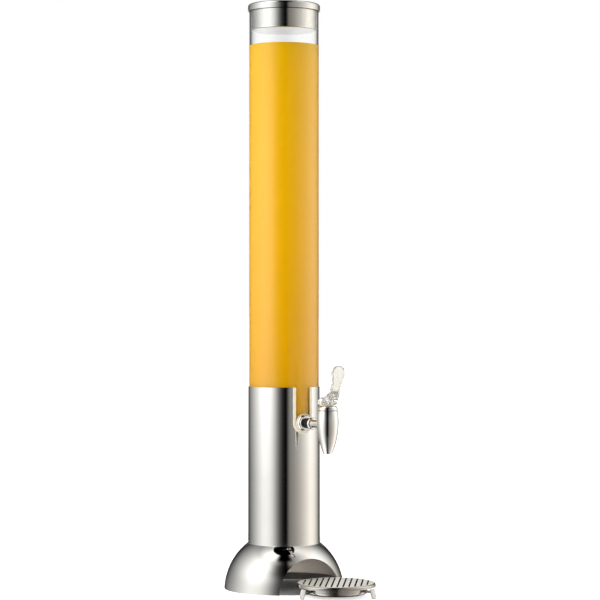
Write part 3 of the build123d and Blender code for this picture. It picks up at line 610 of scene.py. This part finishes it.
def rounded(corners, radius, steps=7):
    """Closed outline whose corners are rounded: at each corner a parabola from a point one radius before
    it to a point one radius after it, (1-t)^2 A + 2t(1-t) C + t^2 B. On a short side the radius is less than
    half the side, so that two roundings never meet."""
    corner = np.asarray(corners, float)
    under_half = 2.1
    before = np.roll(corner, 1, axis=0) - corner
    after = np.roll(corner, -1, axis=0) - corner
    reach_before = np.linalg.norm(before, axis=1, keepdims=True)
    reach_after = np.linalg.norm(after, axis=1, keepdims=True)
    size = np.minimum(radius, np.minimum(reach_before, reach_after) / under_half)
    first = (corner + before / reach_before * size)[:, None]
    last = (corner + after / reach_after * size)[:, None]
    share = np.linspace(0, 1, steps)[None, :, None]
    outline = (1 - share) ** 2 * first + 2 * share * (1 - share) * corner[:, None] + share**2 * last
    return outline.reshape(-1, 2)


def fit_piece(piece, body, slot, *replaced):
    """Lets a piece ride on a body and hides the nodes that it stands for. The name of its finish is not used.
    """
    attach(piece, body)
    if replaced:
        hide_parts(*replaced)


class DispenserOperator:
    """What every step shares: it can be undone, and it reads the scene's settings."""

    bl_options = {"REGISTER", "UNDO"}

    @staticmethod
    def settings(context):
        scene = context.scene
        return scene.dispenser_finish, scene.dispenser_shape, scene.dispenser_stage


class DISPENSER_OT_steel(DispenserOperator, bpy.types.Operator):
    """Mirror-polished steel for the stand, the lid and the drip tray."""

    bl_idname = "dispenser.steel"
    bl_label = "Polished Steel"

    def execute(self, context):
        finish, shape, _ = self.settings(context)
        tint = finish.steel
        column = polished_metal(
            "column_steel", tint, object_place, DRAWN_LINES, roughness=0.03, line_depth=0.02)
        spun = polished_metal(
            "spun_steel", tint, column_rings, SPUN_LINES, roughness=0.035, line_depth=0.03)
        sphere = math.hypot(DOME_FOOT_RADIUS, shape.dome_drop)
        centre = (0.0, 0.0, -shape.dome_drop)

        def pressed(start):
            """One on the dome's inside, above the polished edge."""
            outer, inner = sphere - shape.dome_sheet / 4, sphere - shape.dome_sheet
            inside = spread(start, distance_from(start, centre), outer, inner)
            soft = 0.001
            above = spread(start, table_height(start), shape.dome_edge - soft, shape.dome_edge + soft)
            return inside * above

        dome = polished_metal(
            "dome_steel", tint, column_rings, SPUN_LINES, roughness=0.035, line_depth=0.03,
            raw=pressed, raw_tint=finish.pressed)
        tray = brushed_metal("tray_steel", finish.tray_steel, TRAY_AXIS, TRAY_TOP)
        paint(["column_tube", "container_shelf"], column)
        paint(["lid_cap", "lid_plug"], spun)
        paint(["dome_foot"], dome)
        paint(["tray_grille", "tray_dish"], tray)
        return {"FINISHED"}


class DISPENSER_OT_chrome(DispenserOperator, bpy.types.Operator):
    """Chrome for the tap's casting and rings, plain steel for its inner pieces and the tray's studs."""

    bl_idname = "dispenser.chrome"
    bl_label = "Tap Chrome"

    def execute(self, context):
        finish, shape, _ = self.settings(context)

        def bonnet_painted_shade(start):
            """One where the bonnet meets the tap's body, where shade is painted into the seam."""
            return near(start, table_height(start), SEAM_Z, shape.seam)

        def ring_painted_shade(start):
            """One at the radius of the locknut, where it meets the washer, where shade is painted into the
            seam.
            """
            radius = distance_from(start, (0.0, 0.0, SHANK_Z), (1.0, 0.0, 1.0))
            return near(start, radius, LOCKNUT_RADIUS, shape.seam / 2)

        chrome = polished_metal(
            "tap_chrome", finish.chrome, object_place, CAST_MARKS, roughness=0.025, line_depth=0.01,
            seam=bonnet_painted_shade)
        rings = polished_metal(
            "ring_chrome", finish.chrome, object_place, CAST_MARKS, roughness=0.03, line_depth=0.01,
            seam=ring_painted_shade)
        paint(["tap_body", "tap_bonnet"], chrome)
        for name, node in (("rounded_washer", "shank_washer"), ("rounded_locknut", "outer_locknut")):
            ring = surface(name, self.ring_points(node, shape), rings, along=True)
            fit_piece(ring, "container", "chrome", node)
        steel = turned_metal("turned_steel", finish.turned_steel)
        paint(["shank_nut", "valve_stem", "lever_pin", "tray_studs"], steel)
        low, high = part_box("valve_spring")
        spring = surface("valve_coil", self.spring_points(low, high, shape), steel)
        fit_piece(spring, "container", "plain_steel", "valve_spring")
        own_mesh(spring)
        return {"FINISHED"}

    @staticmethod
    def spring_points(low, high, shape):
        """A round wire along a helix that climbs evenly about the tap's axis, with flat ends. Each ring of
        points stands across the helix: its middle plus the cosine outwards and the sine across, times the
        wire's radius."""
        wire, steps, wire_steps = shape.spring_wire / 2, 200, 16
        turn = np.pad(np.linspace(0, 2 * math.pi * shape.spring_turns, steps), 1, mode="edge")[:, None]
        rise = np.pad(np.linspace(low.z + wire, high.z - wire, steps), 1, mode="edge")[:, None]
        coil, level = (high.x - low.x) / 2 - wire, np.zeros_like(turn)
        outward = np.hstack([np.cos(turn), np.sin(turn), level])
        middle = coil * outward + np.hstack([level, level + (low.y + high.y) / 2, rise])
        climb = (high.z - low.z - 2 * wire) / (2 * math.pi * shape.spring_turns)
        ahead = np.hstack([-coil * np.sin(turn), coil * np.cos(turn), level + climb])
        across = np.cross(ahead / np.linalg.norm(ahead, axis=1, keepdims=True), outward)
        thick = np.pad(np.full(steps, wire), 1)[:, None, None]
        ring = angles(wire_steps)[None, :, None]
        return middle[:, None] + thick * (np.cos(ring) * outward[:, None] + np.sin(ring) * across[:, None])

    @staticmethod
    def ring_points(node, shape):
        """A ring turned about the shank. Its section runs from the bore out to the rim, and its front falls
        to the rim on a slightly rounded flank: a quarter ellipse with sine and cosine raised to a power."""
        low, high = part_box(node)
        bore, rim, back, front = shape.shank_radius + FIT_GAP, high.x, -high.y, -low.y
        flank_share, widest_share, power, steps = 0.85, 0.9, 1.5, 16
        depth = flank_share * (front - back)
        width = min(shape.ring_round * depth, widest_share * (rim - bore))
        quarter = np.linspace(math.pi / 2, 0, steps)
        radius = np.concatenate([[bore, bore], rim - width + width * np.cos(quarter) ** power, [rim]])
        reach = np.concatenate([[back, front], front - depth * (1 - np.sin(quarter) ** power), [back]])
        turn = angles(ROUND_STEPS)[None, :]
        return on_shank(radius[:, None] * np.ones_like(turn), reach[:, None] * np.ones_like(turn), turn)


class DISPENSER_OT_acrylic(DispenserOperator, bpy.types.Operator):
    """Clear acrylic for the tube, its base and the lever."""

    bl_idname = "dispenser.acrylic"
    bl_label = "Clear Acrylic"

    def execute(self, context):
        finish = self.settings(context)[0]
        tube = clear_acrylic("clear_acrylic", finish.acrylic, TUBE_LINES, roughness=0.004)
        lever = clear_acrylic("lever_acrylic", finish.lever, MOULD_MARKS, roughness=0.11, clear=0.9)
        paint(["juice_tube", "tube_base"], tube)
        paint(["tap_lever"], lever)
        return {"FINISHED"}


class DISPENSER_OT_seals(DispenserOperator, bpy.types.Operator):
    """White silicone for the seals inside, black rubber for the tap's sleeve and rings, soft tray feet."""

    bl_idname = "dispenser.seals"
    bl_label = "Seals and Feet"

    def execute(self, context):
        finish = self.settings(context)[0]
        white = soft_material("white_silicone", finish.white_silicone, roughness=0.4, through=0.0)
        black = soft_material("black_rubber", finish.rubber, roughness=0.25, through=0.0, gloss=0.12)
        milky = soft_material("foot_rubber", finish.feet, roughness=0.3, through=0.4)
        paint(["shelf_pad", "inner_gasket", "valve_plug", "lid_seal"], white)
        paint(["stem_seal", "bonnet_seal", "shank_sleeve"], black)
        paint(["tray_feet"], milky)
        return {"FINISHED"}


class DISPENSER_OT_juice(DispenserOperator, bpy.types.Operator):
    """The filling, wetting the tube's wall and drawn up at its rim."""

    bl_idname = "dispenser.juice"
    bl_label = "Juice"

    def execute(self, context):
        finish, shape, _ = self.settings(context)
        wall_radius = TUBE_RADIUS - shape.wall + shape.wetting
        flat_steps, wall_steps, meniscus_steps = 12, 40, 24
        # From the middle of the floor to the wall, up the wall, and back to the middle on the meniscus,
        # whose height falls from the wall with the square of the remaining share of its width.
        inward = np.linspace(0, 1, meniscus_steps)
        radius = np.concatenate([
            np.linspace(0, wall_radius, flat_steps),
            np.full(wall_steps, wall_radius),
            wall_radius - shape.meniscus_width * inward,
            np.linspace(wall_radius - shape.meniscus_width, 0, flat_steps),
        ])
        height = np.concatenate([
            np.full(flat_steps, JUICE_LOW),
            np.linspace(JUICE_LOW, JUICE_TOP, wall_steps),
            JUICE_TOP - shape.meniscus_rise * (1 - (1 - inward) ** 2),
            np.full(flat_steps, JUICE_TOP - shape.meniscus_rise),
        ])
        piece = surface("juice_filling", turned(radius, height), juice_material(finish))
        fit_piece(piece, "container", "juice", "juice")
        return {"FINISHED"}


class DISPENSER_OT_trim(DispenserOperator, bpy.types.Operator):
    """Rounded silicone trim round the column's slot, and the silicone grommet of the tap."""

    bl_idname = "dispenser.trim"
    bl_label = "Silicone Trim"

    def execute(self, context):
        finish, shape, _ = self.settings(context)
        silicone = soft_material("cream_silicone", finish.silicone, roughness=0.42, through=0.0)
        trim = surface("slot_edging", self.trim_points(shape), silicone)
        fit_piece(trim, "stand", "cream_silicone", "slot_trim")
        gasket = surface("tap_grommet", self.gasket_points(shape), silicone, along=True)
        fit_piece(gasket, "container", "cream_silicone", "outer_gasket")
        return {"FINISHED"}

    @staticmethod
    def trim_points(shape):
        """A rounded L section, offset and radius, carried down one side of the slot, round a half circle and
        up the other side. A point's place is path plus offset times the outward normal, set on a cylinder:
        y is minus the root of radius squared less x squared. Each end closes on its middle."""
        half, tongue = shape.slot_half_width, 0.95e-3
        side_steps, arc_steps = 40, 97
        arc = np.linspace(math.pi, 2 * math.pi, arc_steps)
        rise = np.linspace(COLUMN_TOP, SHANK_Z, side_steps, endpoint=False)
        side = np.ones(side_steps)
        path_x = np.concatenate([-half * side, half * np.cos(arc), half * side])
        path_z = np.concatenate([rise, SHANK_Z + half * np.sin(arc), rise[::-1]])
        normal_x = np.concatenate([-side, np.cos(arc), side])
        normal_z = np.concatenate([0 * side, np.sin(arc), 0 * side])
        lip_out = TRIM_HALF_WIDTH - half
        lip_back = TRIM_FRONT - shape.trim_lip
        tongue_back = lip_back - tongue
        section = rounded(
            [
                (-shape.trim_inset, tongue_back),
                (-shape.trim_inset, TRIM_FRONT),
                (lip_out, TRIM_FRONT),
                (lip_out, lip_back),
                (-FIT_GAP, lip_back),
                (-FIT_GAP, tongue_back),
            ],
            shape.trim_round,
        )
        offset, radius = section[None, :, 0], section[None, :, 1]
        x = path_x[:, None] + offset * normal_x[:, None]
        z = path_z[:, None] + offset * normal_z[:, None]
        points = np.stack([x, -np.sqrt(radius**2 - x**2), z], axis=-1)
        ends = points[[0, -1]].mean(axis=1, keepdims=True) * np.ones((1, points.shape[1], 1))
        return np.concatenate([ends[:1], points, ends[1:]])

    @staticmethod
    def gasket_points(shape):
        """A rounded outline of radius and reach turned about the shank. Where the outline is at the tube its
        reach is the root of the tube's radius squared less x squared, which saddles the boss on the tube."""
        bore, slot_gap = shape.shank_radius + FIT_GAP, 0.3e-3
        boss = shape.slot_half_width - shape.trim_inset - slot_gap
        back = GASKET_FRONT - shape.gasket_flange
        section = rounded(
            [(bore, TUBE_RADIUS), (bore, GASKET_FRONT), (GASKET_RADIUS, GASKET_FRONT),
             (GASKET_RADIUS, back), (boss, back), (boss, TUBE_RADIUS)],
            shape.gasket_round,
        )
        turn = angles(ROUND_STEPS)[None, :]
        radius, reach = section[:, :1], section[:, 1:]
        saddle = np.sqrt((TUBE_RADIUS + FIT_GAP) ** 2 - (radius * np.cos(turn)) ** 2)
        sunk = np.clip((back - reach) / (back - TUBE_RADIUS), 0, 1)
        return on_shank(radius * np.ones_like(turn), reach * (1 - sunk) + saddle * sunk, turn)


class DISPENSER_OT_weld(DispenserOperator, bpy.types.Operator):
    """The ground weld between dome and column."""

    bl_idname = "dispenser.weld"
    bl_label = "Ground Weld"

    def execute(self, context):
        finish, shape, _ = self.settings(context)
        steel = polished_metal(
            "weld_steel", finish.steel, column_rings, GROUND_LINES, roughness=0.12, line_depth=0.1)
        weld = surface("ground_weld", self.weld_points(shape), steel, along=True)
        fit_piece(weld, "stand", "polished_steel")
        return {"FINISHED"}

    @staticmethod
    def weld_points(shape):
        """A hollow quarter circle between the ledge and the column, closed at its corner, which is sunk into
        both, and turned about Z."""
        arc_steps, sunk = 12, 0.1e-3
        quarter = np.linspace(1.5 * math.pi, math.pi, arc_steps)
        inside, below = COLUMN_RADIUS - sunk, LEDGE_Z - sunk
        radius = np.append(COLUMN_RADIUS + shape.weld * (1 + np.cos(quarter)), [inside, inside])
        height = np.append(LEDGE_Z + shape.weld * (1 + np.sin(quarter)), [LEDGE_Z + shape.weld, below])
        return turned(radius, height)


class DISPENSER_OT_stage(DispenserOperator, bpy.types.Operator):
    """Floor, light tent, world and camera."""

    bl_idname = "dispenser.stage"
    bl_label = "Stage"

    def execute(self, context):
        stage = self.settings(context)[2]
        context.scene.view_settings.view_transform = "Standard"
        self.add_camera(context.scene, stage)
        self.add_floor(stage)
        self.add_tent(stage)
        self.add_fill(stage)
        world = bpy.data.worlds.new("white_room")
        context.scene.world = world
        world.use_nodes = True
        world.node_tree.nodes.clear()
        start = Signal(world.node_tree)
        sky = start.node("ShaderNodeBackground", None, {"Color": WHITE, "Strength": 1.0})
        start.node("ShaderNodeOutputWorld", None, {"Surface": sky})
        return {"FINISHED"}

    @staticmethod
    def towards_camera(stage):
        """Level directions from the column to the camera and to the camera's right."""
        turn = stage.camera_turn
        back = np.array([math.sin(turn), -math.cos(turn), 0.0])
        right = np.array([math.cos(turn), math.sin(turn), 0.0])
        return back, right

    def add_camera(self, scene, stage):
        """A level camera, turned to face the column and a little to its right."""
        back, right = self.towards_camera(stage)
        camera = bpy.data.cameras.new("front_camera")
        camera.lens = stage.lens
        camera.sensor_width = 36.0
        holder = bpy.data.objects.new("front_camera", camera)
        place = back * stage.camera_distance + right * stage.camera_side
        holder.location = (place[0], place[1], stage.camera_height)
        holder.rotation_euler = (math.pi / 2, 0.0, stage.camera_turn)
        scene.collection.objects.link(holder)
        scene.camera = holder

    @staticmethod
    def add_floor(stage):
        """A wide flat sheet. Its own shading keeps the shadow, a share of light whitens it where it is seen,
        and polished steel sees it as a polished sheet. Under the dome it has a painted shadow and does
        neither."""
        half_width, steps = 40, 9
        painted_shadow_share, painted_shadow_start, painted_shadow_end = 0.45, stage.painted_shadow_radius - 0.006, stage.painted_shadow_radius + 0.002
        material, start = start_material("table_top")
        seen, glossy, through = ray_facts(start, "Is Camera Ray", "Is Glossy Ray", "Is Transmission Ray")
        outside_painted_shadow = spread(start, distance_from(start, (0.0, 0.0, 0.0)), painted_shadow_start, painted_shadow_end)
        # Painted shadow: the table top's colour, darkened under the dome
        shade = opaque(darker(stage.floor, painted_shadow_share))
        colour = blend_colour(start, outside_painted_shadow, shade, opaque(stage.floor))
        matt = start.node("ShaderNodeBsdfDiffuse", None, {"Color": colour})
        strength = stage.floor_glow * outside_painted_shadow * start.math("MINIMUM", seen + glossy + through, 1.0)
        glow = start.node("ShaderNodeEmission", None, {"Color": WHITE, "Strength": strength})
        both = start.node("ShaderNodeAddShader", None, {0: matt, 1: glow})
        mirror = start.node("ShaderNodeBsdfGlossy", None, {"Color": WHITE, "Roughness": 0.0})
        polish = stage.floor_polish * glossy * outside_painted_shadow
        shown = start.node("ShaderNodeMixShader", None, {0: polish, 1: both, 2: mirror})
        start.node("ShaderNodeOutputMaterial", None, {"Surface": shown})
        reach = np.linspace(-half_width, half_width, steps)
        x, y = np.meshgrid(reach, reach)
        floor = surface("table_top", np.stack([x, y, np.zeros_like(x)], axis=-1), material, across=False)

    def add_tent(self, stage):
        """A round tent with a lit upright wall, whose rows lie closer at the foot, and a dark flat top."""
        wall_rows, top_rows, columns = 24, 4, 720
        rise = stage.tent_height * np.linspace(0, 1, wall_rows) ** 2
        top = stage.tent_radius * np.linspace(0.999, 0.001, top_rows)
        bearing = np.radians(np.linspace(-180, 180, columns, endpoint=False))
        radius = np.append(np.full(len(rise), stage.tent_radius), top)
        height = np.append(rise, np.full(len(top), stage.tent_height))
        wall = self.tent_light(np.degrees(bearing)[None, :, None], rise[:, None, None], stage)
        light = np.concatenate([wall, np.zeros((len(top), *wall.shape[1:]))])
        self.round_sheet("light_tent", stage, bearing, radius, height, light, True)

    def add_fill(self, stage):
        """Soft upright panels for what isn't polished, brighter at the top: round the camera's view, on both
        of its sides, and a low one further in that lights the arch. Polished surfaces don't show them, and
        acrylic doesn't pass the light of the low one on to the juice."""
        rows, columns, foot, dim, bright = 4, 24, 0.02, 0.6, 1.4
        wide, inner, arch_top = 0.95 * stage.tent_radius, 0.9 * stage.tent_radius, 0.14
        # Name, bearing of the middle and half the width in degrees, radius, upper edge, light, and whether
        # acrylic passes it
        for name, centre, reach, radius, top, strength, passed in (
            ("front_panel", 0, 50, wide, stage.fill_height, stage.fill, True),
            ("left_panel", -75, 25, wide, stage.fill_height, stage.left_fill, True),
            ("right_panel", 97, 23, wide, stage.fill_height, stage.right_fill, True),
            ("arch_panel", 16, 18, inner, arch_top, stage.arch_fill, False),
        ):
            height = np.linspace(foot, top, rows)
            bearing = np.radians(np.linspace(centre - reach, centre + reach, columns))
            light = strength * np.linspace(dim, bright, rows)[:, None, None] * np.ones((1, columns, 3))
            panel = self.round_sheet(
                name, stage, bearing, np.full(rows, radius), height, light, closed=False)
            panel.visible_glossy = False
            panel.visible_transmission = passed

    def round_sheet(self, name, stage, bearing, radius, height, light, closed):
        """Sheet on a grid of bearings and rows: radius times the bearing's level direction, at the row's
        height. Its light is kept at its points. The camera looks through it, and what clear acrylic shows of
        it is no brighter than white. Steel behind acrylic looks through an open sheet to the tent, as bare
        steel does."""
        back, right = self.towards_camera(stage)
        direction = np.cos(bearing)[:, None] * back + np.sin(bearing)[:, None] * right
        upright = np.array([0.0, 0.0, 1.0])
        points = direction[None] * radius[:, None, None] + height[:, None, None] * upright
        material, start = start_material(name)
        glow, level = (
            start.node("ShaderNodeAttribute", {"attribute_name": "light"}, None, output)
            for output in ("Color", "Fac"))
        through, turns, passes, mirrors, scatters = ray_facts(
            start, "Is Transmission Ray", "Ray Depth", "Transmission Depth", "Glossy Depth", "Diffuse Depth")
        # A count below this is none, and above it one or more
        some = 0.5
        straight = through * start.math("LESS_THAN", turns - passes, some)
        strength = start.math("DIVIDE", 1.0, 1 + straight * (start.math("MAXIMUM", level, 1.0) - 1))
        shine = start.node("ShaderNodeEmission", None, {"Color": glow, "Strength": strength})
        if not closed:
            polished = start.math("GREATER_THAN", mirrors, some) * start.math("LESS_THAN", scatters, some)
            clear = start.node("ShaderNodeBsdfTransparent")
            shine = start.node("ShaderNodeMixShader", None, {0: through * polished, 1: shine, 2: clear})
        start.node("ShaderNodeOutputMaterial", None, {"Surface": shine})
        sheet = surface(name, points, material, across=closed)
        shade = np.ones((*light.shape[:2], 4), np.float32)
        shade[..., :3] = light
        kept = sheet.data.color_attributes.new("light", "FLOAT_COLOR", "POINT")
        kept.data.foreach_set("color", shade.ravel())
        sheet.visible_camera = False
        return sheet

    @staticmethod
    def tent_light(bearing, height, stage):
        """A white back and two soft lamps, one on each side, as bell curves of the bearing with a width and a
        power on each flank. A bell is e to minus the distance from its centre, in widths, to the power.
        Both lamps are brighter round half a metre, where the right one loses its warm colour, as it does from
        a metre up, and both fade towards the back, which is white above the dome. Ahead the tent is open for
        the camera: the right lamp starts at a crisp edge, round 0.58 m less than half of the light is left in
        the middle, and from 1.2 m up none."""

        def bell(value, centre, width, power):
            return np.exp(-np.abs((value - centre) / width) ** power)

        def rising(start, reach):
            return np.clip((height - start) / reach, 0, 1)

        def lamp(centre, strength, left, right):
            away = (bearing - centre + 180) % 360 - 180
            width, power = (np.where(away < 0, *pair) for pair in zip(left, right))
            return strength * bell(away, 0, width, power)

        open_edge = 5
        middle = bell(height, centre=0.5, width=0.32, power=4)
        upper, above = rising(start=0.78, reach=0.4), rising(start=1, reach=0.2)
        left = lamp(centre=-66, strength=1.9, left=(47, 1.35), right=(41.5, 3.3))
        left = left * (0.8 + 0.42 * middle + 0.4 * upper)
        right = lamp(centre=90, strength=1.62, left=(48, 1.2), right=(43, 2.4))
        right = right * (1 - bell(np.maximum(bearing, open_edge), open_edge, width=9, power=2.5))
        right = right * (1 + 0.2 * middle - 0.15 * above)
        white = np.maximum(middle, above)
        warmth = white + (1 - white) * np.array(stage.right_lamp)
        ahead = 1 - bell(np.abs(bearing), centre=180, width=35, power=3)
        opening = bell(height, centre=0.58, width=0.24, power=6) * bell(bearing, centre=8, width=35, power=4)
        closed = 1 - above * bell(bearing, centre=3, width=28, power=8) - 0.6 * opening
        back = lamp(centre=180, strength=0.95, left=(20, 8), right=(20, 8))
        back = back * (1 - bell(height, centre=0, width=0.2, power=6))
        return (left + right * warmth) * ahead * closed + back


class DISPENSER_PT_panel(bpy.types.Panel):
    """Sidebar panel with the dispenser's steps and settings."""

    bl_label = "Juice Dispenser"
    bl_idname = "DISPENSER_PT_panel"
    bl_space_type = "VIEW_3D"
    bl_region_type = "UI"
    bl_category = "Dispenser"

    def draw(self, context):
        for step in STEPS:
            self.layout.operator(step.bl_idname)
        for group in DispenserOperator.settings(context):
            box = self.layout.box()
            for name in group.bl_rna.properties.keys():
                if name not in ("name", "rna_type"):
                    box.prop(group, name)


STEPS = (
    DISPENSER_OT_steel,
    DISPENSER_OT_chrome,
    DISPENSER_OT_acrylic,
    DISPENSER_OT_seals,
    DISPENSER_OT_juice,
    DISPENSER_OT_trim,
    DISPENSER_OT_weld,
    DISPENSER_OT_stage,
)
GROUPS = {
    "dispenser_finish": FinishSettings,
    "dispenser_shape": ShapeSettings,
    "dispenser_stage": StageSettings,
}


def register():
    for made in (*GROUPS.values(), *STEPS, DISPENSER_PT_panel):
        bpy.utils.register_class(made)
    for name, group in GROUPS.items():
        setattr(bpy.types.Scene, name, bpy.props.PointerProperty(type=group))


def unregister():
    for name in GROUPS:
        delattr(bpy.types.Scene, name)
    for made in (DISPENSER_PT_panel, *reversed(STEPS), *GROUPS.values()):
        bpy.utils.unregister_class(made)


def main():
    register()
    bpy.ops.dispenser.steel()
    bpy.ops.dispenser.chrome()
    bpy.ops.dispenser.acrylic()
    bpy.ops.dispenser.seals()
    bpy.ops.dispenser.juice()
    bpy.ops.dispenser.trim()
    bpy.ops.dispenser.weld()
    bpy.ops.dispenser.stage()


if __name__ == "__main__":
    main()
